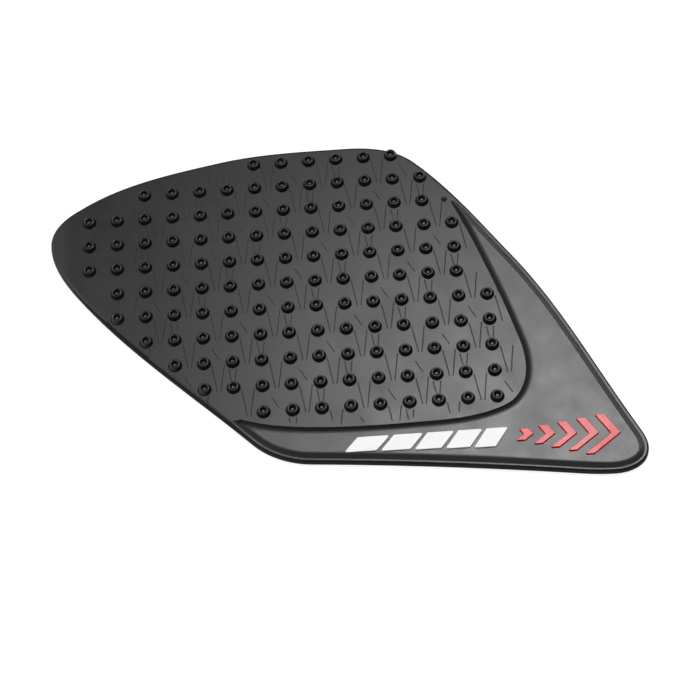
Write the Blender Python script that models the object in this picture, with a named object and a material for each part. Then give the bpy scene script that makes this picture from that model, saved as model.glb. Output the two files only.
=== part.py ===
"""Tank grip pad for a motorbike: one slab of moulded black rubber, in metres, +Z up.

The flat back lies on z = 0 and faces the tank. The face carries a field of dimpled studs on a raised
plateau. Below and to the right of the plateau lies a sunk wing with a raised rim round its outer edge.
White bars and red chevrons of coloured rubber stand in pockets in the wing's floor.
The nose points to -X, the toe to +X, the crown to +Y and the sole to -Y.
"""

import bpy
import bmesh
from math import cos, pi, radians, sin, tan
from mathutils import Vector
from mathutils.geometry import interpolate_bezier

MM = 0.001

# Slab
PAD_LENGTH = 243.8 * MM
PAD_DEPTH = 162.5 * MM
PAD_THICKNESS = 3.0 * MM
EDGE_ROUND = 0.75 * MM
EDGE_FACETS = 2

# The outline and the step line are drawn on a sheet of squares stretched to the pad's length and depth.
# An anchor is its squares from the nose, its squares below the crown, and its heading in degrees.
SHEET_SQUARES = Vector((300, 200))
OUTLINE_ANCHORS = (
    (0, 46.5, 90),       # nose
    (19.5, 25, 30),
    (91, 3.5, 10.5),
    (159, 0, 0),         # crown
    (195.5, 11.5, -44),  # shoulder
    (242.5, 73, -55),
    (296, 175.5, -63),
    (300, 187.5, -90),   # toe
    (282.5, 200, 180),   # sole
    (264, 198.5, 172),
    (132.5, 184, 175.5),
    (103, 171, 135),     # heel
    (16, 82, 127.5),
)
STEP_ANCHORS = (
    (212.5, 37, -66.5),
    (231, 87, -71.5),
    (241.5, 122.5, -75),
    (240.5, 150.5, -116.5),
    (231.5, 159.5, -156),
    (184.5, 166, 181),
    (124, 164, 173.5),
    (96, 157.5, 161),
)
CROWN_ANCHOR = 3
STEP_LOWEST_ANCHOR = 5
POINTS_PER_STRETCH = 7
FINE_POINTS_PER_STRETCH = 42

# Wing: a recess between the step line and the rim, with a hollow cove along both sides
RIM_WIDTH = 1.7 * MM
RECESS_DEPTH = 1.0 * MM
COVE_RUN = 3.0 * MM
COVE_FACETS = 2
WING_SECTIONS = 44

# Studs, on a square lattice counted from the nose and the crown
STUD_PITCH = 12.0 * MM
FIRST_COLUMN = 17.0 * MM
FIRST_ROW = 5.8 * MM
STUD_BASE_DIAMETER = 5.8 * MM
STUD_TOP_DIAMETER = 4.2 * MM
STUD_HEIGHT = 2.1 * MM
DIMPLE_DIAMETER = 2.6 * MM
DIMPLE_FLOOR_DIAMETER = 1.1 * MM
DIMPLE_DEPTH = 1.6 * MM
STUD_ROOT = 0.8 * MM
STUD_SIDES = 9
STUD_TRIM = 0.1 * MM
NOSE_SIDE_MARGIN = 4.5 * MM
TOE_SIDE_MARGIN = 2.0 * MM

# One small nub where the edge leaves no room for a stud, in columns and rows of the lattice
NUB_COLUMN = 12.8
NUB_ROW = 2
NUB_DIAMETER = 2.2 * MM
NUB_HEIGHT = 1.0 * MM
NUB_TOP_DIAMETER = 1.3 * MM

# Coloured rubber: how far it stands out of the wing's floor, and its pocket below that floor
INLAY_RISE = 0.7 * MM
POCKET_DEPTH = 1.0 * MM
INLAY_CLEARANCE = 0.3 * MM

# How far a cutter reaches past what it cuts
CUTTER_HEADROOM = 1.0 * MM

# White bars, from the left: each is narrower and taller than the one before
BAR_COUNT = 5
BAR_WIDTH = 13.4 * MM
BAR_NARROWING = 1.1 * MM
BAR_HEIGHT = 6.5 * MM
BAR_GROWTH = 0.45 * MM
BAR_SLANT = 6.0 * MM
BAR_GAP = 1.4 * MM
BARS_BELOW_STEP = 4.9 * MM
BARS_TO_CHEVRONS = 2.0 * MM

# Red chevrons, from the right: each is lower than the one before, and all lean with the bars
CHEVRON_COUNT = 5
CHEVRON_HEIGHT = 17.4 * MM
CHEVRON_SHRINKING = 3.0 * MM
CHEVRON_STROKE = 4.2 * MM
CHEVRON_PITCH = 8.8 * MM
CHEVRON_RISE = 0.5 * MM
CHEVRON_SWEEP = 45.0
CHEVRON_LEAN = 19.0
CHEVRON_TIP_FROM_TOE = 10.4 * MM
CHEVRON_TIP_BELOW_STEP = 10.6 * MM

# Worked out
FACE = PAD_THICKNESS
WING_FLOOR = PAD_THICKNESS - RECESS_DEPTH
POCKET_FLOOR = WING_FLOOR - POCKET_DEPTH
INLAY_TOP = WING_FLOOR + INLAY_RISE
NOSE_X = -PAD_LENGTH / 2
TOE_X = PAD_LENGTH / 2
CROWN_Y = PAD_DEPTH / 2
CUTTER_TOP = FACE + CUTTER_HEADROOM


def clear_scene():
    for item in list(bpy.data.objects):
        bpy.data.objects.remove(item, do_unlink=True)


def rubber(name, colour, roughness):
    """Moulded rubber of one colour, given as linear red, green and blue."""
    material = bpy.data.materials.new(name)
    material.use_nodes = True
    shader = material.node_tree.nodes["Principled BSDF"]
    shader.inputs["Base Color"].default_value = (*colour, 1.0)
    shader.inputs["Roughness"].default_value = roughness
    shader.inputs["Metallic"].default_value = 0.0
    material.diffuse_color = (*colour, 1.0)
    return material


def on_pad(across, down):
    """A place on the drawing sheet, in metres from the pad's middle."""
    x = NOSE_X + across / SHEET_SQUARES.x * PAD_LENGTH
    y = CROWN_Y - down / SHEET_SQUARES.y * PAD_DEPTH
    return Vector((x, y))


def heading_on_pad(degrees):
    """A direction on the drawing sheet, stretched as the sheet is."""
    along = cos(radians(degrees)) * PAD_LENGTH / SHEET_SQUARES.x
    up = sin(radians(degrees)) * PAD_DEPTH / SHEET_SQUARES.y
    return Vector((along, up)).normalized()


def stretch(start, end, count):
    """Points from one anchor up to the next, as near to a round arc as the two headings allow."""
    p, q = on_pad(*start[:2]), on_pad(*end[:2])
    leaving, arriving = heading_on_pad(start[2]), heading_on_pad(end[2])
    turn = max(leaving.angle(arriving), 0.001)
    handle = (q - p).length * 2 / 3 * tan(turn / 4) / sin(turn / 2)
    points = interpolate_bezier(p, p + leaving * handle, q - arriving * handle, q, count + 1)
    return [Vector(point[:2]) for point in points[:-1]]


def outline_curve(count):
    """The pad's outline, clockwise from the nose, with count points to a stretch."""
    following = OUTLINE_ANCHORS[1:] + OUTLINE_ANCHORS[:1]
    points = []
    for start, end in zip(OUTLINE_ANCHORS, following):
        points += stretch(start, end, count)
    return points


def step_curve(count):
    """The plateau's lower edge, from its end on the flank to its end on the heel."""
    points = []
    for start, end in zip(STEP_ANCHORS, STEP_ANCHORS[1:]):
        points += stretch(start, end, count)
    return points + [on_pad(*STEP_ANCHORS[-1][:2])]


def right_hand(before, after):
    """The unit vector to the right of the way from one point to the other."""
    way = (after - before).normalized()
    return Vector((way.y, -way.x))


def inset(points, distance):
    """A closed clockwise curve moved inwards."""
    count = len(points)
    moved = []
    for i, point in enumerate(points):
        moved.append(point + right_hand(points[i - 1], points[(i + 1) % count]) * distance)
    return moved


def evenly(points, count):
    """An open curve as count points at even steps along it."""
    lengths = [0.0]
    for before, after in zip(points, points[1:]):
        lengths.append(lengths[-1] + (after - before).length)
    placed = []
    piece = 0
    for i in range(count):
        wanted = lengths[-1] * i / (count - 1)
        while piece < len(points) - 2 and lengths[piece + 1] < wanted:
            piece += 1
        share = (wanted - lengths[piece]) / (lengths[piece + 1] - lengths[piece])
        placed.append(points[piece].lerp(points[piece + 1], share))
    return placed


def nearest(points, place):
    return min(range(len(points)), key=lambda i: (points[i] - place).length)


def part_of_loop(points, first, last):
    """The stretch of a closed curve from one index on to another, both ends included."""
    turned_round = points[first:] + points[:first]
    return turned_round[:(last - first) % len(points) + 1]


STEP_LINE = step_curve(FINE_POINTS_PER_STRETCH)
OUTLINE_LINE = outline_curve(FINE_POINTS_PER_STRETCH)
RIM_LOOP = inset(OUTLINE_LINE, RIM_WIDTH)
FLANK_END = nearest(RIM_LOOP, STEP_LINE[0])
HEEL_END = nearest(RIM_LOOP, STEP_LINE[-1])
RIM_LINE = part_of_loop(RIM_LOOP, FLANK_END, HEEL_END)
PLATEAU_EDGE = part_of_loop(OUTLINE_LINE, HEEL_END, FLANK_END) + STEP_LINE
STEP_LOWEST_Y = on_pad(*STEP_ANCHORS[STEP_LOWEST_ANCHOR][:2]).y


def add_object(name, shape, material=None):
    """Turns a bmesh into a named object whose faces point outwards."""
    bmesh.ops.recalc_face_normals(shape, faces=shape.faces)
    mesh = bpy.data.meshes.new(name)
    shape.to_mesh(mesh)
    shape.free()
    piece = bpy.data.objects.new(name, mesh)
    bpy.context.scene.collection.objects.link(piece)
    if material:
        mesh.materials.append(material)
    return piece


def add_tool(name, shape):
    """An object that only cuts or joins another one."""
    tool = add_object(name, shape)
    tool.hide_render = True
    tool.display_type = "WIRE"
    return tool


def loft(shape, rings, closed_ends=True):
    """Joins rings of equally many points with walls, and caps the first and the last."""
    loops = [[shape.verts.new(point) for point in ring] for ring in rings]
    count = len(loops[0])
    for lower, upper in zip(loops, loops[1:]):
        for i in range(count):
            after = (i + 1) % count
            shape.faces.new((lower[i], lower[after], upper[after], upper[i]))
    if closed_ends:
        shape.faces.new(list(reversed(loops[0])))
        shape.faces.new(loops[-1])


def at_height(points, z):
    return [(point.x, point.y, z) for point in points]


def prism(shape, points, bottom, top):
    loft(shape, [at_height(points, bottom), at_height(points, top)])


def combine(piece, tool, operation):
    modifier = piece.modifiers.new(tool.name, "BOOLEAN")
    modifier.operation = operation
    modifier.solver = "EXACT"
    modifier.object = tool


def slab(material):
    """The plain slab: flat back, upright wall and a rounded upper edge."""
    outline = outline_curve(POINTS_PER_STRETCH)
    rings = [at_height(outline, 0)]
    for i in range(EDGE_FACETS + 1):
        angle = pi / 2 * i / EDGE_FACETS
        inwards = EDGE_ROUND * (1 - cos(angle))
        height = FACE - EDGE_ROUND * (1 - sin(angle))
        rings.append(at_height(inset(outline, inwards), height))
    shape = bmesh.new()
    loft(shape, rings)
    return add_object("grip_pad", shape, material)


def wing_cutter():
    """The body that the sunk wing is left by: sections from the step line across to the rim."""
    step = evenly(STEP_LINE, WING_SECTIONS)
    rim = evenly(RIM_LINE, WING_SECTIONS)
    step[0], step[-1] = rim[0], rim[-1]
    last = WING_SECTIONS - 1
    rings = []
    for i, (inner, outer) in enumerate(zip(step, rim)):
        across = outer - inner
        gap = across.length
        way = across.normalized() if gap else Vector((1, 0))
        before, after = max(i - 1, 0), min(i + 1, last)
        step_lean = max(abs(way.dot(right_hand(step[before], step[after]))), 0.5)
        rim_lean = max(abs(way.dot(right_hand(rim[before], rim[after]))), 0.5)
        step_run, rim_run = COVE_RUN / step_lean, COVE_RUN / rim_lean
        room = min(gap / (step_run + rim_run), 1.0)
        from_step, from_rim = [(*inner, CUTTER_TOP)], [(*outer, CUTTER_TOP)]
        for k in range(COVE_FACETS + 1):
            share = room * k / COVE_FACETS
            z = FACE - RECESS_DEPTH * (1 - (1 - share) ** 2)
            from_step.append((*(inner + way * step_run * share), z))
            from_rim.append((*(outer - way * rim_run * share), z))
        rings.append(from_step + from_rim[::-1])
    shape = bmesh.new()
    loft(shape, rings)
    bmesh.ops.remove_doubles(shape, verts=shape.verts, dist=0.002 * MM)
    return add_tool("wing_cutter", shape)


def turned(shape, centre, profile, sides):
    """A turned body round an upright axis; the profile runs upwards as radius and height."""
    rings = []
    for radius, height in profile:
        ring = []
        for i in range(sides):
            angle = 2 * pi * i / sides
            ring.append((centre.x + radius * cos(angle), centre.y + radius * sin(angle), height))
        rings.append(ring)
    loft(shape, rings)


def depth_inside(loop, place):
    """How far a place lies inside a closed curve, less than nothing outside it."""
    closest = min((place - point).length for point in loop)
    inside = False
    for i, point in enumerate(loop):
        other = loop[i - 1]
        if (point.y > place.y) != (other.y > place.y):
            crossing = point.x + (place.y - point.y) / (other.y - point.y) * (other.x - point.x)
            if place.x < crossing:
                inside = not inside
    return closest if inside else -closest


def lattice_point(column, row):
    x = NOSE_X + FIRST_COLUMN + column * STUD_PITCH
    y = CROWN_Y - FIRST_ROW - row * STUD_PITCH
    return Vector((x, y))


def stud_places():
    """Every point of the lattice that has room for a stud; the toe side is filled closer to the edge."""
    crown_x = on_pad(*OUTLINE_ANCHORS[CROWN_ANCHOR][:2]).x
    columns = range(int((PAD_LENGTH - FIRST_COLUMN) / STUD_PITCH) + 1)
    rows = range(int((PAD_DEPTH - FIRST_ROW) / STUD_PITCH) + 1)
    places = []
    for row in rows:
        for column in columns:
            place = lattice_point(column, row)
            margin = TOE_SIDE_MARGIN if place.x > crown_x else NOSE_SIDE_MARGIN
            if depth_inside(PLATEAU_EDGE, place) > margin:
                places.append(place)
    return places


def stud_trimmer():
    """The room that the studs keep to: the pad's outline, a little inside its wall."""
    shape = bmesh.new()
    outline = inset(outline_curve(POINTS_PER_STRETCH), STUD_TRIM)
    prism(shape, outline, FACE - STUD_ROOT - CUTTER_HEADROOM, FACE + STUD_HEIGHT + CUTTER_HEADROOM)
    return add_tool("stud_trimmer", shape)


def stud_field():
    """All studs and the nub, rooted a little below the plateau's face and trimmed at the pad's edge."""
    shape = bmesh.new()
    profile = (
        (STUD_BASE_DIAMETER / 2, FACE - STUD_ROOT),
        (STUD_BASE_DIAMETER / 2, FACE),
        (STUD_TOP_DIAMETER / 2, FACE + STUD_HEIGHT),
        (DIMPLE_DIAMETER / 2, FACE + STUD_HEIGHT),
        (DIMPLE_FLOOR_DIAMETER / 2, FACE + STUD_HEIGHT - DIMPLE_DEPTH),
    )
    for place in stud_places():
        turned(shape, place, profile, STUD_SIDES)
    nub = lattice_point(NUB_COLUMN, NUB_ROW)
    if depth_inside(PLATEAU_EDGE, nub) > NUB_DIAMETER / 2:
        nub_profile = (
            (NUB_DIAMETER / 2, FACE - STUD_ROOT),
            (NUB_DIAMETER / 2, FACE),
            (NUB_TOP_DIAMETER / 2, FACE + NUB_HEIGHT),
        )
        turned(shape, nub, nub_profile, STUD_SIDES)
    studs = add_tool("stud_field", shape)
    combine(studs, stud_trimmer(), "INTERSECT")
    return studs


def chevron_outlines():
    """A row of chevrons that point to the toe, from the tallest to the lowest."""
    tip = Vector((TOE_X - CHEVRON_TIP_FROM_TOE, STEP_LOWEST_Y - CHEVRON_TIP_BELOW_STEP))
    stroke = Vector((CHEVRON_STROKE, 0))
    outlines = []
    for i in range(CHEVRON_COUNT):
        half = (CHEVRON_HEIGHT - CHEVRON_SHRINKING * i) / 2
        swept = half / tan(radians(CHEVRON_SWEEP))
        leaning = half * tan(radians(CHEVRON_LEAN))
        upper = tip + Vector((leaning - swept, half))
        lower = tip - Vector((leaning + swept, half))
        outlines.append([tip, lower, lower - stroke, tip - stroke, upper - stroke, upper])
        tip = tip + Vector((-CHEVRON_PITCH, CHEVRON_RISE))
    return outlines


def bar_outlines():
    """Slanted bars in a row that ends a little to the left of the lowest chevron."""
    widths = [BAR_WIDTH - BAR_NARROWING * i for i in range(BAR_COUNT)]
    row_right = min(point.x for point in chevron_outlines()[-1]) - BARS_TO_CHEVRONS
    left = row_right - BAR_SLANT - sum(widths) - BAR_GAP * (BAR_COUNT - 1)
    top = STEP_LOWEST_Y - BARS_BELOW_STEP
    outlines = []
    for i, width in enumerate(widths):
        height = BAR_HEIGHT + BAR_GROWTH * i
        slant = Vector((BAR_SLANT, height))
        foot = Vector((left, top - height))
        side = Vector((width, 0))
        outlines.append([foot, foot + slant, foot + slant + side, foot + side])
        left += width + BAR_GAP
    return outlines


def grown(points, distance):
    """A closed clockwise outline of straight sides moved outwards, with its corners kept sharp."""
    count = len(points)
    sides = []
    for i, point in enumerate(points):
        after = points[(i + 1) % count]
        shift = -right_hand(point, after) * distance
        sides.append((point + shift, after + shift))
    corners = []
    for i, (start, end) in enumerate(sides):
        before = sides[i - 1]
        way, other = end - start, before[1] - before[0]
        share = (before[0] - start).cross(other) / way.cross(other)
        corners.append(start + way * share)
    return corners


def clockwise(points):
    doubled_area = sum(points[i - 1].cross(point) for i, point in enumerate(points))
    return list(points) if doubled_area < 0 else list(reversed(points))


def inlay(name, points, material):
    """One piece of coloured rubber, standing in its pocket and a little proud of the wing's floor."""
    shape = bmesh.new()
    prism(shape, points, POCKET_FLOOR + INLAY_CLEARANCE, INLAY_TOP)
    return add_object(name, shape, material)


def pocket_cutter(outlines):
    shape = bmesh.new()
    for points in outlines:
        prism(shape, grown(points, INLAY_CLEARANCE), POCKET_FLOOR, CUTTER_TOP)
    return add_tool("pocket_cutter", shape)


def main():
    clear_scene()
    black = rubber("black_rubber", (0.011, 0.011, 0.012), 0.42)
    white = rubber("white_rubber", (0.86, 0.86, 0.85), 0.45)
    red = rubber("red_rubber", (0.48, 0.011, 0.020), 0.40)

    bars = [clockwise(points) for points in bar_outlines()]
    chevrons = [clockwise(points) for points in chevron_outlines()]

    pad = slab(black)
    combine(pad, wing_cutter(), "DIFFERENCE")
    combine(pad, stud_field(), "UNION")
    combine(pad, pocket_cutter(bars + chevrons), "DIFFERENCE")

    for i, points in enumerate(bars, start=1):
        inlay(f"white_bar_{i}", points, white)
    for i, points in enumerate(chevrons, start=1):
        inlay(f"red_chevron_{i}", points, red)


main()
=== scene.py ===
from math import atan2, cos, pi, radians, sin, tan

import bmesh
import bpy
from mathutils import Matrix, Vector


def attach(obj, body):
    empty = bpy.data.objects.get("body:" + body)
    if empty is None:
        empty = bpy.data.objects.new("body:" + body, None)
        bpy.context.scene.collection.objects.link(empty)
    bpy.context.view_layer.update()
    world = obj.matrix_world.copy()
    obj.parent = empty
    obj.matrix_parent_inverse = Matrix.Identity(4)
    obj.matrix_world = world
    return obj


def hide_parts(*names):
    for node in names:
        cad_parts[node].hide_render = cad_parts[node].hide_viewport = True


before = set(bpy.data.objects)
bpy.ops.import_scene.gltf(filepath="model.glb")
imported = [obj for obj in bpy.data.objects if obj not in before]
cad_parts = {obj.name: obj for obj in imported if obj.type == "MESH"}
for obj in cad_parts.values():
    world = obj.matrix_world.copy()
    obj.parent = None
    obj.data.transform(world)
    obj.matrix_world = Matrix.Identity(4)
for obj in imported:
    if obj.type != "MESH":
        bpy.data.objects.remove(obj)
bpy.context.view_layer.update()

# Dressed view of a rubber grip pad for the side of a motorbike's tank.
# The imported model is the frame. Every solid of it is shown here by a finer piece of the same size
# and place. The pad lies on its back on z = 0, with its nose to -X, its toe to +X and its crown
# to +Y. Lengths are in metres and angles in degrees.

MM = 0.001

# What counts as the same level, as level, as one point, as a turn and as a sharp edge
SAME_LEVEL = 0.001 * MM
LEVEL_NORMAL = 0.99
ONE_POINT = 0.002 * MM
LEAST_TURN = 0.001
SHARP_ANGLE = 38

# Slab, as in the part's source. Its face lies at its thickness.
PAD_LENGTH = 243.8 * MM
PAD_DEPTH = 162.5 * MM
FACE = 3.0 * MM
NOSE_X = -PAD_LENGTH / 2
TOE_X = PAD_LENGTH / 2
CROWN_Y = PAD_DEPTH / 2

# The upper edge's round, and the length over which it changes where the wing's rim begins
RIM_EDGE_ROUND = 0.9 * MM
FAR_EDGE_ROUND = 1.2 * MM
NEAR_EDGE_ROUND = 1.8 * MM
ROUND_CHANGE = 14.0 * MM
EDGE_SEGMENTS = 7

# The nose thins out over its last stretch, and loses this much of its thickness at the tip
NOSE_ROLL = 14.0 * MM
NOSE_DROP = 2.1 * MM
NOSE_STRIPS = 10

# The mould's skin ends where the edge tips over by this much. It wraps further round the nose, up
# to the first of the two distances from the tip, and no further than elsewhere past the second.
TRIM_TILT = 19.0
NOSE_TRIM_TILT = 60.0
NOSE_TRIM_CHANGE = (9.0 * MM, 26.0 * MM)

# The outline and the step line on a sheet of 300 by 200 squares stretched over the pad:
# squares from the nose, squares below the crown, heading
SHEET_SQUARES = Vector((300, 200))
OUTLINE_ANCHORS = (
    (0, 46.5, 90), (19.5, 25, 30), (91, 3.5, 10.5), (159, 0, 0), (195.5, 11.5, -44),
    (242.5, 73, -55), (296, 175.5, -63), (300, 187.5, -90), (282.5, 200, 180), (264, 198.5, 172),
    (132.5, 184, 175.5), (103, 171, 135), (16, 82, 127.5),
)
STEP_ANCHORS = (
    (212.5, 37, -66.5), (231, 87, -71.5), (241.5, 122.5, -75), (240.5, 150.5, -116.5),
    (231.5, 159.5, -156), (184.5, 166, 181), (124, 164, 173.5), (96, 157.5, 161),
)
CROWN_ANCHOR = 3
STEP_LOWEST_ANCHOR = 5
POINTS_PER_STRETCH = 24

# Wing: a recess between the step line and the rim, with a cove along both sides.
# The step's cove is hollower towards the sole than towards the flank.
FLANK_RIM_WIDTH = 1.7 * MM
SOLE_RIM_WIDTH = 1.1 * MM
RECESS_DEPTH = 1.0 * MM
WING_FLOOR = FACE - RECESS_DEPTH
STEP_COVE_RUN = 3.6 * MM
SOLE_STEP_CURVE = 3.0
FLANK_STEP_CURVE = 2.0
FLANK_COVE_RUN = 2.1 * MM
SOLE_COVE_RUN = 4.1 * MM
HEEL_COVE_EXTRA = 0.8 * MM

# Shares of the rim's cove. The crest's round ends at the first. The ease to the floor begins there
# too along the flank, and at the second along the sole.
CREST_SHARE = 0.16
STRAIGHT_TO_SHARE = 0.62

# An edge that looks this far towards the crown is all flank, and one that looks straight away from
# it is all sole. A cove is longer where a row crosses it at a slant, but only up to this slant.
FLANK_FACING = 0.55
LEAST_SLANT = 0.5
COVE_STEPS = 15
WING_SECTIONS = 150
CUTTER_TOP = FACE + 1.0 * MM

# Studs on their square lattice, which starts so far from the nose and the crown
STUD_PITCH = 12.0 * MM
FIRST_COLUMN = 17.0 * MM
FIRST_ROW = 5.8 * MM
NOSE_SIDE_MARGIN = 4.5 * MM
TOE_SIDE_MARGIN = 2.0 * MM
STUD_SIDES = 16
STUD_TRIM = 0.1 * MM
TRIMMER_BOTTOM = FACE - 2.0 * MM
TRIMMER_TOP = FACE + 4.0 * MM

# A stud from its buried root up over the top and down into the dimple, and the one small nub:
# radius and height above the face in millimetres
STUD_PROFILE = (
    (3.02, -0.8), (3.02, -0.01), (2.80, 0.24), (2.36, 1.70), (2.14, 2.02), (1.96, 2.10),
    (1.62, 2.10), (1.48, 2.00), (1.28, 1.60), (0.92, 0.76), (0.76, 0.64), (0.36, 0.60),
)
NUB_PROFILE = ((1.32, -0.8), (1.32, -0.01), (1.20, 0.12), (0.84, 0.74), (0.50, 1.02), (0.20, 1.10))
NUB_COLUMN = 12.8
NUB_ROW = 2

# Hairlines engraved in the plateau: faint towards the nose and crown, plain towards the toe and
# sole. A stroke runs between two points, in millimetres from the stud at its cell's upper left.
# The cells take turns along each row and each column of the lattice.
TALL_PAIR = (((3.3, -1.2), (5.3, -13.4)), ((8.5, -1.2), (6.7, -13.4)))
LONE_STROKE = (((3.6, -5.4), (6.4, -10.6)),)
SHORT_PAIR = (((-1.7, -3.3), (-0.8, -8.7)), ((1.5, -3.3), (0.7, -8.7)))
CELL_ROUND = (TALL_PAIR, SHORT_PAIR, TALL_PAIR, LONE_STROKE)
HAIRLINE_ROWS = range(-1, 13)
HAIRLINE_COLUMNS = range(-1, 15)
HAIRLINE_MARGIN = 1.2 * MM
HAIRLINE_FREE_NOSE = 33.0 * MM
HAIRLINE_CUTS = (1.0, 0.85, 0.7, 0.55, 0.4)
HAIRLINE_WIDTH = (0.09 * MM, 0.48 * MM)
HAIRLINE_DEPTH = (0.05 * MM, 0.36 * MM)
HAIRLINE_FADE = (0.2, 0.72)
TOE_WEIGHT = 0.6
SOLE_WEIGHT = 0.4
BLADE_TIP = 0.12

# Coloured rubber: pockets in the wing's floor, and what stands in them
POCKET_FLOOR = WING_FLOOR - 1.0 * MM
INLAY_BOTTOM = POCKET_FLOOR + 0.3 * MM
INLAY_TOP = WING_FLOOR + 0.7 * MM
INLAY_SEAM = 0.06 * MM
INLAY_ROUND = 0.30 * MM
INLAY_ROUND_SEGMENTS = 3
CORNER_STEPS = 5

# White bars from the left: each is narrower and taller than the one before
BAR_COUNT = 5
BAR_WIDTH = 13.4 * MM
BAR_NARROWING = 1.1 * MM
BAR_HEIGHT = 6.5 * MM
BAR_GROWTH = 0.45 * MM
BAR_SLANT = 6.0 * MM
BAR_GAP = 1.4 * MM
BAR_CORNER = 0.60 * MM
BARS_BELOW_STEP = 4.9 * MM
BARS_TO_CHEVRONS = 2.0 * MM

# Red chevrons from the right: each is lower than the one before
CHEVRON_COUNT = 5
CHEVRON_HEIGHT = 17.4 * MM
CHEVRON_SHRINKING = 3.0 * MM
CHEVRON_STROKE = 4.2 * MM
CHEVRON_PITCH = 8.8 * MM
CHEVRON_RISE = 0.5 * MM
CHEVRON_SWEEP = 45.0
CHEVRON_LEAN = 19.0
CHEVRON_CORNER = 0.42 * MM
CHEVRON_TIP_FROM_TOE = 10.4 * MM
CHEVRON_TIP_BELOW_STEP = 10.6 * MM

# Sizes of the rubber's patterns in millimetres: clouds of tint, bloom on the skin, swells from
# cooling, the mould's grain, and the tears of the cut wall, which are drawn coarser than real ones
CLOUD_SIZE = 30
BLOOM_SIZE = 14
SWELL_SIZE = 26
GRAIN_SIZE = 0.7
TEAR_SIZE = 0.5
TEAR_DEPTH = 0.03

# The values between which nearly all of a noise lies
NOISE_LOW = 0.3
NOISE_HIGH = 0.7

SATIN_SWAY = 0.03
RUBBER_IOR = 1.41
POLISHED_IOR = 1.47
TORN_ROUGHNESS = (0.75, 0.9)
TORN_SPECULAR = 0.2

# Studio. The white backdrop stands behind the floor and fades out between two heights over the
# horizon, above which the room is dim, so that the coves of the glossy rubber stay dark.
WHITE_LIGHT = (1.0, 1.0, 1.0, 1.0)
FLOOR_SIZE = 6.0
FLOOR_LEVEL = -0.02 * MM
PAPER_GLOW = 1.3
PAPER_GLOW_SHARE = 0.65
ROOM_STRENGTH = 0.13
BACKDROP_STRENGTH = 1.0
BACKDROP_FADE = (10.5, 16)

# Lamps: name, place, width, depth, and how bright they look to the pad
SOFTBOXES = (
    ("overhead_softbox", (0.207, 0.455, 1.25), 0.46, 0.23, 32.4),
    ("left_panel", (-0.81, 0.24, 1.12), 1.1, 0.56, 2.9),
    ("low_left_strip", (-1.20, 0.22, 0.62), 1.5, 0.36, 2.1),
)

# Camera: its picture is 700 pixels wide, and its three directions are its picture's
PICTURE_WIDTH = 700
FOCAL_LENGTH_IN_PIXELS = 1981.76
SENSOR_WIDTH = 36.0
CAMERA_PLACE = (0.0122, -0.3985, 0.7342)
CAMERA_RIGHT = Vector((0.99761, -0.05615, -0.04027))
CAMERA_DOWN = Vector((-0.06839, -0.88566, -0.45927))
CAMERA_AHEAD = Vector((-0.00988, 0.46093, -0.88738))


# Modelling by hand

def only(piece):
    """Makes a piece the one selected and active object."""
    bpy.ops.object.select_all(action="DESELECT")
    piece.select_set(True)
    bpy.context.view_layer.objects.active = piece


def edit(piece, select_mode="FACE"):
    only(piece)
    bpy.ops.object.mode_set(mode="EDIT")
    bpy.ops.mesh.select_mode(type=select_mode)


def done():
    bpy.ops.object.mode_set(mode="OBJECT")


def pick(piece, kind, wanted):
    """In edit mode, selects just those faces or edges for which wanted is true."""
    bpy.ops.mesh.select_all(action="DESELECT")
    shape = bmesh.from_edit_mesh(piece.data)
    for item in getattr(shape, kind):
        if wanted(item):
            item.select_set(True)
    bmesh.update_edit_mesh(piece.data)


def faces_up(face):
    return face.normal.z > LEVEL_NORMAL


def faces_down(face):
    return face.normal.z < -LEVEL_NORMAL


def at_level(height):
    """Picks edges that lie on one level."""
    return lambda edge: all(abs(vert.co.z - height) < SAME_LEVEL for vert in edge.verts)


def pull_up(height):
    """In edit mode, extrudes what is selected straight up."""
    bpy.ops.mesh.extrude_region_move(TRANSFORM_OT_translate={"value": (0, 0, height)})


def turn_outwards():
    """In edit mode, turns every face of a closed shape outwards."""
    bpy.ops.mesh.select_all(action="SELECT")
    bpy.ops.mesh.normals_make_consistent(inside=False)


def copied(piece, matrix):
    """A copy with its own mesh, moved within that mesh."""
    twin = piece.copy()
    twin.data = piece.data.copy()
    twin.data.transform(matrix)
    bpy.context.scene.collection.objects.link(twin)
    return twin


def joined(pieces, name):
    bpy.ops.object.select_all(action="DESELECT")
    for piece in pieces:
        piece.select_set(True)
    bpy.context.view_layer.objects.active = pieces[0]
    if len(pieces) > 1:
        bpy.ops.object.join()
    pieces[0].name = name
    return pieces[0]


def combined(piece, tool, operation):
    """Cuts or joins a piece with a tool, and throws the tool away."""
    only(piece)
    modifier = piece.modifiers.new(operation, "BOOLEAN")
    modifier.operation = operation
    modifier.solver = "EXACT"
    modifier.object = tool
    bpy.ops.object.modifier_apply(modifier=modifier.name)
    bpy.data.objects.remove(tool)


def finished(piece, name, slot, *nodes):
    """Shades a piece, gives it its name, and stands it in for its CAD nodes."""
    only(piece)
    piece.name = name
    bpy.ops.object.shade_smooth_by_angle(angle=radians(SHARP_ANGLE))
    modifier = piece.modifiers.new("even_normals", "WEIGHTED_NORMAL")
    modifier.keep_sharp = True
    bpy.ops.object.modifier_apply(modifier=modifier.name)
    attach(piece, "root")
    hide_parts(*nodes)


# Lines drawn on the sheet

def within_one(share):
    return min(max(share, 0.0), 1.0)


def blend(start, end, share):
    return start + (end - start) * share


def on_pad(across, down):
    x = NOSE_X + across / SHEET_SQUARES.x * PAD_LENGTH
    y = CROWN_Y - down / SHEET_SQUARES.y * PAD_DEPTH
    return Vector((x, y))


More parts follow.
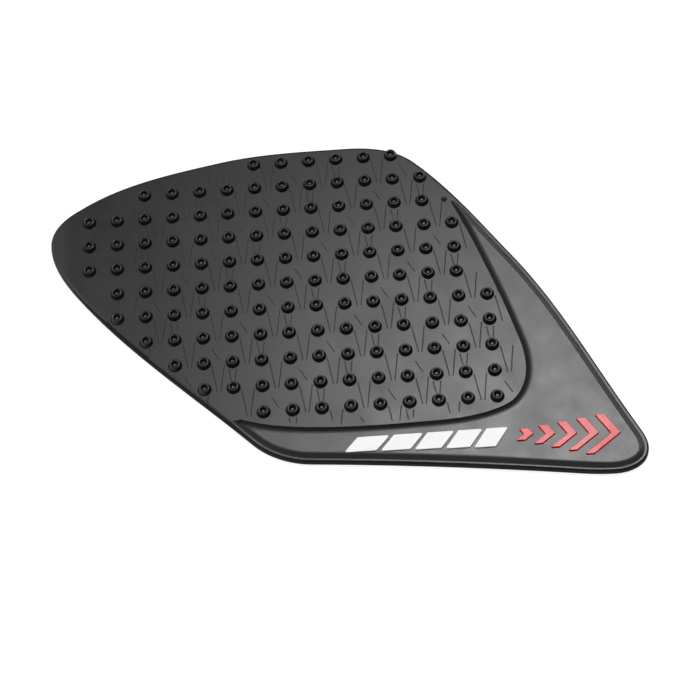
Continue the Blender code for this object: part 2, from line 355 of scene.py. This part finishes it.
def heading_on_pad(degrees):
    along = cos(radians(degrees)) * PAD_LENGTH / SHEET_SQUARES.x
    up = sin(radians(degrees)) * PAD_DEPTH / SHEET_SQUARES.y
    return Vector((along, up)).normalized()


def drawn_line(name, anchors, closed):
    """A Bezier line through the anchors, as even as an arc, made into a mesh of short edges."""
    bpy.ops.curve.primitive_bezier_curve_add(location=(0, 0, 0))
    line = bpy.context.object
    line.name = name
    line.data.dimensions = "3D"
    line.data.resolution_u = POINTS_PER_STRETCH
    spline = line.data.splines[0]
    spline.resolution_u = POINTS_PER_STRETCH
    spline.use_cyclic_u = closed
    spline.bezier_points.add(len(anchors) - 2)
    knots = spline.bezier_points
    for knot, (across, down, degrees) in zip(knots, anchors):
        knot.handle_left_type = knot.handle_right_type = "FREE"
        knot.co = (*on_pad(across, down), 0)
        knot.handle_left = knot.handle_right = knot.co
    for i in range(len(anchors) if closed else len(anchors) - 1):
        start, end = knots[i], knots[(i + 1) % len(anchors)]
        leaving = heading_on_pad(anchors[i][2])
        arriving = heading_on_pad(anchors[(i + 1) % len(anchors)][2])
        turn = max(leaving.angle(arriving), LEAST_TURN)
        handle = (end.co - start.co).length * 2 / 3 * tan(turn / 4) / sin(turn / 2)
        start.handle_right = start.co + (leaving * handle).to_3d()
        end.handle_left = end.co - (arriving * handle).to_3d()
    bpy.ops.object.convert(target="MESH")
    return bpy.context.object


def points_of(line):
    return [vert.co.xy.copy() for vert in line.data.vertices]


def right_hand(before, after):
    way = (after - before).normalized()
    return Vector((way.y, -way.x))


def inset(points, distance):
    """A closed clockwise line moved inwards."""
    count = len(points)
    return [point + right_hand(points[i - 1], points[(i + 1) % count]) * distance
            for i, point in enumerate(points)]


def evenly(points, count):
    """An open line as count points at even steps along it."""
    lengths = [0.0]
    for before, after in zip(points, points[1:]):
        lengths.append(lengths[-1] + (after - before).length)
    placed = []
    piece = 0
    for i in range(count):
        wanted = lengths[-1] * i / (count - 1)
        while piece < len(points) - 2 and lengths[piece + 1] < wanted:
            piece += 1
        share = (wanted - lengths[piece]) / (lengths[piece + 1] - lengths[piece])
        placed.append(points[piece].lerp(points[piece + 1], share))
    return placed


def nearest(points, place):
    return min(range(len(points)), key=lambda i: (points[i] - place).length)


def part_of_loop(points, first, last):
    turned_round = points[first:] + points[:first]
    return turned_round[:(last - first) % len(points) + 1]


def depth_inside(loop, place):
    """How far a place lies inside a closed line, less than nothing outside it."""
    closest = min((place - point).length for point in loop)
    inside = False
    for i, point in enumerate(loop):
        other = loop[i - 1]
        if (point.y > place.y) != (other.y > place.y):
            crossing = point.x + (place.y - point.y) / (other.y - point.y) * (other.x - point.x)
            if place.x < crossing:
                inside = not inside
    return closest if inside else -closest


# Slab and wing

def edge_round(points, i, shoulder, heel):
    """The upper edge's radius at a point of the outline: tight along the rim, broader elsewhere."""
    outwards = -right_hand(points[i - 1], points[(i + 1) % len(points)])
    plain = blend(FAR_EDGE_ROUND, NEAR_EDGE_ROUND, (1 - outwards.y) / 2)
    beyond = (heel - shoulder).normalized().cross(points[i] - shoulder)
    return blend(plain, RIM_EDGE_ROUND, within_one(0.5 + beyond / ROUND_CHANGE))


def slab(outline, points, shoulder, heel):
    """The outline filled, pulled up to the face, and rounded along its upper edge."""
    edit(outline, "EDGE")
    bpy.ops.mesh.select_all(action="SELECT")
    bpy.ops.mesh.edge_face_add()
    pull_up(FACE)
    turn_outwards()
    done()
    weights = outline.data.attributes.new("bevel_weight_edge", "FLOAT", "EDGE")
    for edge in outline.data.edges:
        ends = [outline.data.vertices[i].co for i in edge.vertices]
        if all(end.z > FACE - SAME_LEVEL for end in ends):
            radius = edge_round(points, nearest(points, ends[0].xy), shoulder, heel)
            weights.data[edge.index].value = radius / NEAR_EDGE_ROUND
    modifier = outline.modifiers.new("edge_round", "BEVEL")
    modifier.limit_method = "WEIGHT"
    modifier.width = NEAR_EDGE_ROUND
    modifier.segments = EDGE_SEGMENTS
    modifier.use_clamp_overlap = False
    bpy.ops.object.modifier_apply(modifier=modifier.name)
    return outline


def is_trimmed(face):
    """Whether a face of the edge lies past the mould's skin."""
    start, end = NOSE_TRIM_CHANGE
    share = within_one((face.center.x - NOSE_X - start) / (end - start))
    return abs(face.normal.z) < cos(radians(blend(NOSE_TRIM_TILT, TRIM_TILT, share)))


def roll_nose(piece):
    """Cuts the top near the nose into strips, and lets them fall away towards the tip."""
    edit(piece)
    for i in range(NOSE_STRIPS):
        pick(piece, "faces", faces_up)
        cut_x = NOSE_X + NOSE_ROLL * (1 - i / NOSE_STRIPS)
        bpy.ops.mesh.bisect(plane_co=(cut_x, 0, 0), plane_no=(1, 0, 0))
    done()
    for vert in piece.data.vertices:
        share = 1 - (vert.co.x - NOSE_X) / NOSE_ROLL
        if share > 0:
            vert.co.z *= 1 - NOSE_DROP / FACE * share ** 3


def outline_block(points, bottom, top):
    """A flat round whose corners are drawn out to the points, pulled up to straight walls."""
    bpy.ops.mesh.primitive_circle_add(vertices=len(points), fill_type="NGON", location=(0, 0, 0))
    block = bpy.context.object
    for vert, point in zip(block.data.vertices, points):
        vert.co = (*point, bottom)
    edit(block)
    bpy.ops.mesh.select_all(action="SELECT")
    pull_up(top - bottom)
    turn_outwards()
    done()
    return block


def step_height(share, curve):
    """The cove from the face down to the wing's floor: steep at the face, level at the floor."""
    return FACE - RECESS_DEPTH * (1 - (1 - share) ** curve)


def rim_height(share, straight_to):
    """The rim's inner side: it rounds over at the crest, runs straight and eases out below."""
    steepest = 2 / (1 + straight_to - CREST_SHARE)
    if share < CREST_SHARE:
        fallen = steepest * share ** 2 / (2 * CREST_SHARE)
    elif share < straight_to:
        fallen = steepest * (share - CREST_SHARE / 2)
    else:
        fallen = 1 - steepest * (1 - share) ** 2 / (2 * (1 - straight_to))
    return FACE - RECESS_DEPTH * fallen


def flank_to_sole(flank_size, sole_size, outwards):
    """A size that goes over from the flank's to the sole's as the edge turns."""
    to_sole = within_one((FLANK_FACING - outwards.y) / (1 + FLANK_FACING))
    return blend(flank_size, sole_size, to_sole)


def rim_line(points):
    """The inner edge of the rim, which is slimmer along the sole than along the flank."""
    line = []
    for i, point in enumerate(points):
        inwards = right_hand(points[i - 1], points[(i + 1) % len(points)])
        line.append(point + inwards * flank_to_sole(FLANK_RIM_WIDTH, SOLE_RIM_WIDTH, -inwards))
    return line


def rim_cove_run(outwards):
    """The rim's cove is tight along the flank, broad along the sole and broadest at the heel."""
    run = flank_to_sole(FLANK_COVE_RUN, SOLE_COVE_RUN, outwards)
    return run + HEEL_COVE_EXTRA * max(-outwards.x, 0.0)


def wing_section(inner, outer, step_run, step_curve, rim_run, straight_to):
    """Points across the wing from the step line to the rim, a row of the cutter's underside."""
    across = outer - inner
    gap = across.length
    way = across.normalized()
    room = min(gap / (step_run + rim_run), 1.0)
    shares = [room * (k / COVE_STEPS) for k in range(COVE_STEPS + 1)]
    near = [(*(inner + way * step_run * share), step_height(share, step_curve)) for share in shares]
    far = [(*(outer - way * rim_run * share), rim_height(share, straight_to)) for share in shares]
    return near + far[::-1]


def wing_rows(step, rim):
    """Rows of points across the wing, with both its ends drawn together to a point."""
    last = len(step) - 1
    rows = []
    for i in range(1, last):
        way = (rim[i] - step[i]).normalized()
        into_plateau = right_hand(step[i - 1], step[i + 1])
        step_run = STEP_COVE_RUN / max(abs(way.dot(into_plateau)), LEAST_SLANT)
        step_curve = blend(SOLE_STEP_CURVE, FLANK_STEP_CURVE, max(-into_plateau.x, 0.0))
        outwards = -right_hand(rim[i - 1], rim[i + 1])
        rim_run = rim_cove_run(outwards) / max(abs(way.dot(outwards)), LEAST_SLANT)
        straight_to = flank_to_sole(CREST_SHARE, STRAIGHT_TO_SHARE, outwards)
        rows.append(wing_section(step[i], rim[i], step_run, step_curve, rim_run, straight_to))
    columns = len(rows[0])
    ends = [[(*rim[i], FACE)] * columns for i in (0, last)]
    return [ends[0], *rows, ends[1]]


def wing_cutter(step_points, rim_points):
    """A grid laid across the wing from the step line to the rim, pulled up past the face."""
    rows = wing_rows(evenly(step_points, WING_SECTIONS), evenly(rim_points, WING_SECTIONS))
    bpy.ops.mesh.primitive_grid_add(
        x_subdivisions=len(rows[0]) - 1, y_subdivisions=WING_SECTIONS - 1)
    cutter = bpy.context.object
    for vert, place in zip(cutter.data.vertices, (place for row in rows for place in row)):
        vert.co = place
    edit(cutter)
    bpy.ops.mesh.select_all(action="SELECT")
    bpy.ops.mesh.remove_doubles(threshold=ONE_POINT)
    pull_up(CUTTER_TOP - WING_FLOOR)
    turn_outwards()
    done()
    return cutter


# Studs and hairlines

def turned(profile):
    """A low cylinder drawn up ring by ring to a profile of radius and height above the face."""
    (radius, low), (_, high) = profile[:2]
    bpy.ops.mesh.primitive_cylinder_add(
        vertices=STUD_SIDES, radius=radius * MM, depth=(high - low) * MM,
        location=(0, 0, FACE + (low + high) / 2 * MM))
    piece = bpy.context.object
    bpy.ops.object.transform_apply(location=True, rotation=False, scale=False)
    edit(piece)
    pick(piece, "faces", faces_up)
    for (wide, low), (narrow, high) in zip(profile[1:], profile[2:]):
        pull_up((high - low) * MM)
        bpy.ops.transform.resize(value=(narrow / wide, narrow / wide, 1), center_override=(0, 0, 0))
    done()
    return piece


def lattice_point(column, row):
    x = NOSE_X + FIRST_COLUMN + column * STUD_PITCH
    y = CROWN_Y - FIRST_ROW - row * STUD_PITCH
    return Vector((x, y))


def stud_places(plateau_edge):
    """Each lattice point that has room for a stud; the toe side is filled closer to the edge."""
    crown_x = on_pad(*OUTLINE_ANCHORS[CROWN_ANCHOR][:2]).x
    places = []
    for row in range(int((PAD_DEPTH - FIRST_ROW) / STUD_PITCH) + 1):
        for column in range(int((PAD_LENGTH - FIRST_COLUMN) / STUD_PITCH) + 1):
            place = lattice_point(column, row)
            margin = TOE_SIDE_MARGIN if place.x > crown_x else NOSE_SIDE_MARGIN
            if depth_inside(plateau_edge, place) > margin:
                places.append(place)
    return places


def stud_field(places, outline_points):
    """All the studs and the nub, trimmed where the outline cuts them."""
    stud = turned(STUD_PROFILE)
    nub = turned(NUB_PROFILE)
    pieces = [copied(stud, Matrix.Translation(place.to_3d())) for place in places]
    nub_place = lattice_point(NUB_COLUMN, NUB_ROW).to_3d()
    pieces.append(copied(nub, Matrix.Translation(nub_place)))
    bpy.data.objects.remove(stud)
    bpy.data.objects.remove(nub)
    field = joined(pieces, "stud_field")
    trimmer = outline_block(inset(outline_points, STUD_TRIM), TRIMMER_BOTTOM, TRIMMER_TOP)
    combined(field, trimmer, "INTERSECT")
    return field


def cut_short(ends, plateau_edge):
    """Draws the lower end of a stroke back on to the plateau, as far as the cuts allow."""
    start, end = ends
    for share in HAIRLINE_CUTS:
        ends[1] = start.lerp(end, share)
        if depth_inside(plateau_edge, ends[1]) > HAIRLINE_MARGIN:
            return


def hairline_strokes(plateau_edge):
    """The strokes that lie on the plateau and clear of the nose."""
    strokes = []
    for row in HAIRLINE_ROWS:
        for column in HAIRLINE_COLUMNS:
            corner = lattice_point(column, row)
            for start, end in CELL_ROUND[(column + row) % len(CELL_ROUND)]:
                ends = [corner + Vector(point) * MM for point in (start, end)]
                cut_short(ends, plateau_edge)
                depth = min(depth_inside(plateau_edge, point) for point in ends)
                if depth > HAIRLINE_MARGIN and ends[0].x > NOSE_X + HAIRLINE_FREE_NOSE:
                    strokes.append(ends)
    return strokes


def hairline_strength(place):
    """0 where the engraving is faintest, near the nose and crown, and 1 where it is plainest."""
    to_toe = (place.x - NOSE_X) / PAD_LENGTH
    to_sole = (CROWN_Y - place.y) / PAD_DEPTH
    faint, plain = HAIRLINE_FADE
    return within_one((TOE_WEIGHT * to_toe + SOLE_WEIGHT * to_sole - faint) / (plain - faint))


def hairline_cutter(strokes):
    """One V-shaped blade, copied to every stroke and stretched to its length."""
    bpy.ops.mesh.primitive_cube_add(size=1, location=(0, 0, 0))
    blade = bpy.context.object
    edit(blade)
    pick(blade, "faces", faces_down)
    bpy.ops.transform.resize(value=(BLADE_TIP, 1, 1), center_override=(0, 0, 0))
    done()
    blades = []
    for start, end in strokes:
        way = end - start
        middle = ((start + end) / 2).to_3d() + Vector((0, 0, FACE))
        strength = hairline_strength(middle)
        width, depth = blend(*HAIRLINE_WIDTH, strength), blend(*HAIRLINE_DEPTH, strength)
        matrix = Matrix.Translation(middle) @ Matrix.Rotation(atan2(way.y, way.x) - pi / 2, 4, "Z")
        matrix @= Matrix.Diagonal((2 * width, way.length, 2 * depth, 1))
        blades.append(copied(blade, matrix))
    bpy.data.objects.remove(blade)
    return joined(blades, "hairline_cutter")


# Coloured rubber

def chevron_outlines(step_lowest):
    tip = Vector((TOE_X - CHEVRON_TIP_FROM_TOE, step_lowest - CHEVRON_TIP_BELOW_STEP))
    stroke = Vector((CHEVRON_STROKE, 0))
    outlines = []
    for i in range(CHEVRON_COUNT):
        half = (CHEVRON_HEIGHT - CHEVRON_SHRINKING * i) / 2
        swept = half / tan(radians(CHEVRON_SWEEP))
        leaning = half * tan(radians(CHEVRON_LEAN))
        upper = tip + Vector((leaning - swept, half))
        lower = tip - Vector((leaning + swept, half))
        outlines.append([tip, lower, lower - stroke, tip - stroke, upper - stroke, upper])
        tip = tip + Vector((-CHEVRON_PITCH, CHEVRON_RISE))
    return outlines


def bar_outlines(step_lowest):
    widths = [BAR_WIDTH - BAR_NARROWING * i for i in range(BAR_COUNT)]
    row_right = min(point.x for point in chevron_outlines(step_lowest)[-1]) - BARS_TO_CHEVRONS
    left = row_right - BAR_SLANT - sum(widths) - BAR_GAP * (BAR_COUNT - 1)
    top = step_lowest - BARS_BELOW_STEP
    outlines = []
    for i, width in enumerate(widths):
        height = BAR_HEIGHT + BAR_GROWTH * i
        slant = Vector((BAR_SLANT, height))
        foot = Vector((left, top - height))
        side = Vector((width, 0))
        outlines.append([foot, foot + slant, foot + slant + side, foot + side])
        left += width + BAR_GAP
    return outlines


def clockwise(points):
    doubled_area = sum(points[i - 1].cross(point) for i, point in enumerate(points))
    return list(points) if doubled_area < 0 else list(reversed(points))


def rounded(points, radius):
    """A clockwise outline of straight sides with an arc at every corner."""
    soft = []
    for i, corner in enumerate(points):
        to_before = (points[i - 1] - corner).normalized()
        to_after = (points[(i + 1) % len(points)] - corner).normalized()
        opening = to_before.angle(to_after)
        back = radius / tan(opening / 2)
        centre = corner + (to_before + to_after).normalized() * (radius / sin(opening / 2))
        first = corner + to_before * back - centre
        last = corner + to_after * back - centre
        swing = first.angle_signed(last)
        for k in range(CORNER_STEPS + 1):
            spoke = first.copy()
            spoke.rotate(Matrix.Rotation(-swing * k / CORNER_STEPS, 2))
            soft.append(centre + spoke)
    return soft


def soft_block(points, bottom, top):
    """A block with a small round along its upper edge."""
    block = outline_block(points, bottom, top)
    edit(block, "EDGE")
    pick(block, "edges", at_level(top))
    bpy.ops.mesh.bevel(
        offset=INLAY_ROUND, segments=INLAY_ROUND_SEGMENTS, affect="EDGES", clamp_overlap=False)
    turn_outwards()
    done()
    return block


# Finishes

def linear(code):
    """A colour written as sRGB hex, as linear values."""
    channels = [int(code[i:i + 2], 16) / 255 for i in (1, 3, 5)]
    return [c / 12.92 if c <= 0.04045 else ((c + 0.055) / 1.055) ** 2.4 for c in channels] + [1.0]


def node(tree, kind, settings=None, **sockets):
    """Adds a node, sets its properties, and gives each socket a value or a link.

    A socket is given by its name, or by its number after an underscore.
    """
    made = tree.nodes.new(kind)
    for name, value in (settings or {}).items():
        setattr(made, name, value)
    for name, value in sockets.items():
        socket = made.inputs[int(name[1:]) if name[0] == "_" else name.replace("_", " ")]
        if isinstance(value, bpy.types.NodeSocket):
            tree.links.new(value, socket)
        else:
            socket.default_value = value
    return made


def grains(size_mm):
    """The scale of a noise whose lumps are about so many millimetres across."""
    return 1000 / size_mm


def rubber(name):
    """A new material, its nodes, its shader, and the place on the piece that its patterns read."""
    material = bpy.data.materials.new(name)
    material.use_nodes = True
    tree = material.node_tree
    place = node(tree, "ShaderNodeTexCoord").outputs["Object"]
    return material, tree, tree.nodes["Principled BSDF"], place


def moulded_rubber(name, dark, light, roughness, grain_depth, swell_depth, ior=RUBBER_IOR):
    """Rubber pressed in a steel mould: a satin skin, a fine even grain, and a slow swell."""
    material, tree, shader, place = rubber(name)

    clouds = node(tree, "ShaderNodeTexNoise", Vector=place, Scale=grains(CLOUD_SIZE),
                  Detail=3.0, Roughness=0.55)
    tint = node(tree, "ShaderNodeMix", {"data_type": "RGBA"}, _0=clouds.outputs["Fac"],
                _6=linear(dark), _7=linear(light))
    tree.links.new(tint.outputs[2], shader.inputs["Base Color"])

    bloom = node(tree, "ShaderNodeTexNoise", Vector=place, Scale=grains(BLOOM_SIZE),
                 Detail=4.0, Roughness=0.6)
    satin = node(tree, "ShaderNodeMapRange", _0=bloom.outputs["Fac"], _1=NOISE_LOW, _2=NOISE_HIGH,
                 _3=roughness - SATIN_SWAY, _4=roughness + SATIN_SWAY)
    tree.links.new(satin.outputs["Result"], shader.inputs["Roughness"])

    swell = node(tree, "ShaderNodeTexNoise", Vector=place, Scale=grains(SWELL_SIZE),
                 Detail=1.5, Roughness=0.4)
    slow = node(tree, "ShaderNodeBump", Strength=1.0, Distance=swell_depth * MM,
                Height=swell.outputs["Fac"])
    grain = node(tree, "ShaderNodeTexNoise", Vector=place, Scale=grains(GRAIN_SIZE),
                 Detail=2.0, Roughness=0.6)
    fine = node(tree, "ShaderNodeBump", Strength=1.0, Distance=grain_depth * MM,
                Height=grain.outputs["Fac"], Normal=slow.outputs["Normal"])
    tree.links.new(fine.outputs["Normal"], shader.inputs["Normal"])
    shader.inputs["IOR"].default_value = ior
    return material


def trimmed_rubber():
    """The cut wall of the slab: the same rubber without the mould's skin, dull and finely torn."""
    material, tree, shader, place = rubber("trimmed_black_rubber")
    tears = node(tree, "ShaderNodeTexNoise", Vector=place, Scale=grains(TEAR_SIZE),
                 Detail=3.0, Roughness=0.7)
    tint = node(tree, "ShaderNodeMix", {"data_type": "RGBA"}, _0=tears.outputs["Fac"],
                _6=linear("#121213"), _7=linear("#1C1B1C"))
    tree.links.new(tint.outputs[2], shader.inputs["Base Color"])
    least, most = TORN_ROUGHNESS
    dull = node(tree, "ShaderNodeMapRange", _0=tears.outputs["Fac"], _1=NOISE_LOW, _2=NOISE_HIGH,
                _3=least, _4=most)
    tree.links.new(dull.outputs["Result"], shader.inputs["Roughness"])
    rough = node(tree, "ShaderNodeBump", Strength=1.0, Distance=TEAR_DEPTH * MM,
                 Height=tears.outputs["Fac"])
    tree.links.new(rough.outputs["Normal"], shader.inputs["Normal"])
    shader.inputs["Specular IOR Level"].default_value = TORN_SPECULAR
    return material


def seen_rays(tree):
    """1 for what is seen, straight, mirrored or through glass, and 0 for what only lights."""
    path = node(tree, "ShaderNodeLightPath")
    seen = path.outputs["Is Camera Ray"]
    for kind in ("Is Glossy Ray", "Is Transmission Ray"):
        either = node(tree, "ShaderNodeMath", {"operation": "MAXIMUM"},
                      _0=seen, _1=path.outputs[kind])
        seen = either.outputs[0]
    return seen


def studio_paper():
    """Seamless white paper. It shows white to the camera and keeps the pad's soft shadow."""
    material = bpy.data.materials.new("studio_paper")
    material.use_nodes = True
    tree = material.node_tree
    tree.nodes.clear()
    share = node(tree, "ShaderNodeMath", {"operation": "MULTIPLY"},
                 _0=seen_rays(tree), _1=PAPER_GLOW_SHARE)
    paper = node(tree, "ShaderNodeBsdfDiffuse", Color=linear("#E8E8E8"))
    glow = node(tree, "ShaderNodeEmission", Color=WHITE_LIGHT, Strength=PAPER_GLOW)
    mixed = node(tree, "ShaderNodeMixShader",
                 _0=share.outputs[0], _1=paper.outputs[0], _2=glow.outputs[0])
    node(tree, "ShaderNodeOutputMaterial", Surface=mixed.outputs[0])
    return material


def light_room(world):
    """A dim even room, with the white backdrop along the horizon for the rays that are seen."""
    world.use_nodes = True
    tree = world.node_tree
    tree.nodes.clear()
    room = node(tree, "ShaderNodeBackground", Color=WHITE_LIGHT, Strength=ROOM_STRENGTH)
    backdrop = node(tree, "ShaderNodeBackground", Color=WHITE_LIGHT, Strength=BACKDROP_STRENGTH)
    direction = node(tree, "ShaderNodeTexCoord").outputs["Generated"]
    height = node(tree, "ShaderNodeSeparateXYZ", Vector=direction).outputs["Z"]
    full, gone = (sin(radians(angle)) for angle in BACKDROP_FADE)
    behind = node(tree, "ShaderNodeMapRange", _0=height, _1=full, _2=gone, _3=1.0, _4=0.0)
    shown = node(tree, "ShaderNodeMath", {"operation": "MULTIPLY"},
                 _0=seen_rays(tree), _1=behind.outputs["Result"])
    mixed = node(tree, "ShaderNodeMixShader",
                 _0=shown.outputs[0], _1=room.outputs[0], _2=backdrop.outputs[0])
    node(tree, "ShaderNodeOutputWorld", Surface=mixed.outputs[0])


def softbox(name, place, width, depth, radiance):
    """A rectangular studio lamp that faces the middle of the pad."""
    bpy.ops.object.light_add(type="AREA", location=place)
    lamp = bpy.context.object
    lamp.name = name
    lamp.data.shape = "RECTANGLE"
    lamp.data.size = width
    lamp.data.size_y = depth
    lamp.data.energy = radiance * pi * width * depth
    lamp.rotation_euler = (-Vector(place)).to_track_quat("-Z", "Y").to_euler()


# Making the pad

bpy.ops.object.select_all(action="DESELECT")

outline = drawn_line("pad_outline", OUTLINE_ANCHORS, closed=True)
step_line = drawn_line("step_line", STEP_ANCHORS, closed=False)
outline_points = points_of(outline)
step_points = points_of(step_line)
bpy.data.objects.remove(step_line)
rim_loop = rim_line(outline_points)
flank_end = nearest(rim_loop, step_points[0])
heel_end = nearest(rim_loop, step_points[-1])
rim_points = part_of_loop(rim_loop, flank_end, heel_end)
plateau_edge = part_of_loop(outline_points, heel_end, flank_end) + step_points
step_lowest = on_pad(*STEP_ANCHORS[STEP_LOWEST_ANCHOR][:2]).y

# Carbon-black rubber is a near-black satin. The wing is moulded smoother, so its grain is finer and
# its higher IOR mirrors the lamps more strongly. White rubber is the dullest of them, and red
# rubber has about the black's sheen over a full colour.
black = moulded_rubber("moulded_black_rubber", "#0E0E0F", "#151415", 0.345, 0.010, 0.06)
polished = moulded_rubber(
    "polished_black_rubber", "#0E0E0F", "#151415", 0.365, 0.006, 0.08, POLISHED_IOR)
white = moulded_rubber("moulded_white_rubber", "#F5F5F3", "#FAFAF8", 0.45, 0.008, 0.03)
red = moulded_rubber("moulded_red_rubber", "#C81822", "#D6202C", 0.33, 0.008, 0.03)
trimmed = trimmed_rubber()
black_rubbers = (black, trimmed, polished)

bars = [rounded(clockwise(points), BAR_CORNER) for points in bar_outlines(step_lowest)]
chevrons = [rounded(clockwise(points), CHEVRON_CORNER) for points in chevron_outlines(step_lowest)]

pad = slab(outline, outline_points, step_points[0], step_points[-1])
wing = wing_cutter(step_points, rim_points)
for piece in (pad, wing):
    for material in black_rubbers:
        piece.data.materials.append(material)
for face in pad.data.polygons:
    face.material_index = black_rubbers.index(trimmed if is_trimmed(face) else black)
for face in wing.data.polygons:
    face.material_index = black_rubbers.index(polished)
roll_nose(pad)
combined(pad, wing, "DIFFERENCE")
pockets = [outline_block(inset(points, -INLAY_SEAM), POCKET_FLOOR, CUTTER_TOP)
           for points in bars + chevrons]
combined(pad, joined(pockets, "pocket_cutter"), "DIFFERENCE")
combined(pad, hairline_cutter(hairline_strokes(plateau_edge)), "DIFFERENCE")
combined(pad, stud_field(stud_places(plateau_edge), outline_points), "UNION")
finished(pad, "grip_pad_moulding", "black_rubber", "grip_pad")

for prefix, outlines, material, slot in (
        ("white_bar", bars, white, "white_rubber"), ("red_chevron", chevrons, red, "red_rubber")):
    for i, points in enumerate(outlines, start=1):
        inlay = soft_block(points, INLAY_BOTTOM, INLAY_TOP)
        inlay.data.materials.append(material)
        finished(inlay, f"{prefix}_inlay_{i}", slot, f"{prefix}_{i}")


# Studio

bpy.ops.mesh.primitive_plane_add(size=FLOOR_SIZE, location=(0, 0, FLOOR_LEVEL))
floor = bpy.context.object
floor.name = "studio_floor"
floor.data.materials.append(studio_paper())

bpy.context.scene.world = bpy.data.worlds.new("studio_world")
light_room(bpy.context.scene.world)
for lamp in SOFTBOXES:
    softbox(*lamp)

camera_data = bpy.data.cameras.new("camera")
camera_data.sensor_width = SENSOR_WIDTH
camera_data.lens = FOCAL_LENGTH_IN_PIXELS / PICTURE_WIDTH * SENSOR_WIDTH
camera = bpy.data.objects.new("camera", camera_data)
bpy.context.scene.collection.objects.link(camera)
camera_turn = Matrix((CAMERA_RIGHT, -CAMERA_DOWN, -CAMERA_AHEAD)).transposed()
camera.matrix_world = Matrix.Translation(CAMERA_PLACE) @ camera_turn.to_4x4()
bpy.context.scene.camera = camera

bpy.context.scene.view_settings.view_transform = "Standard"
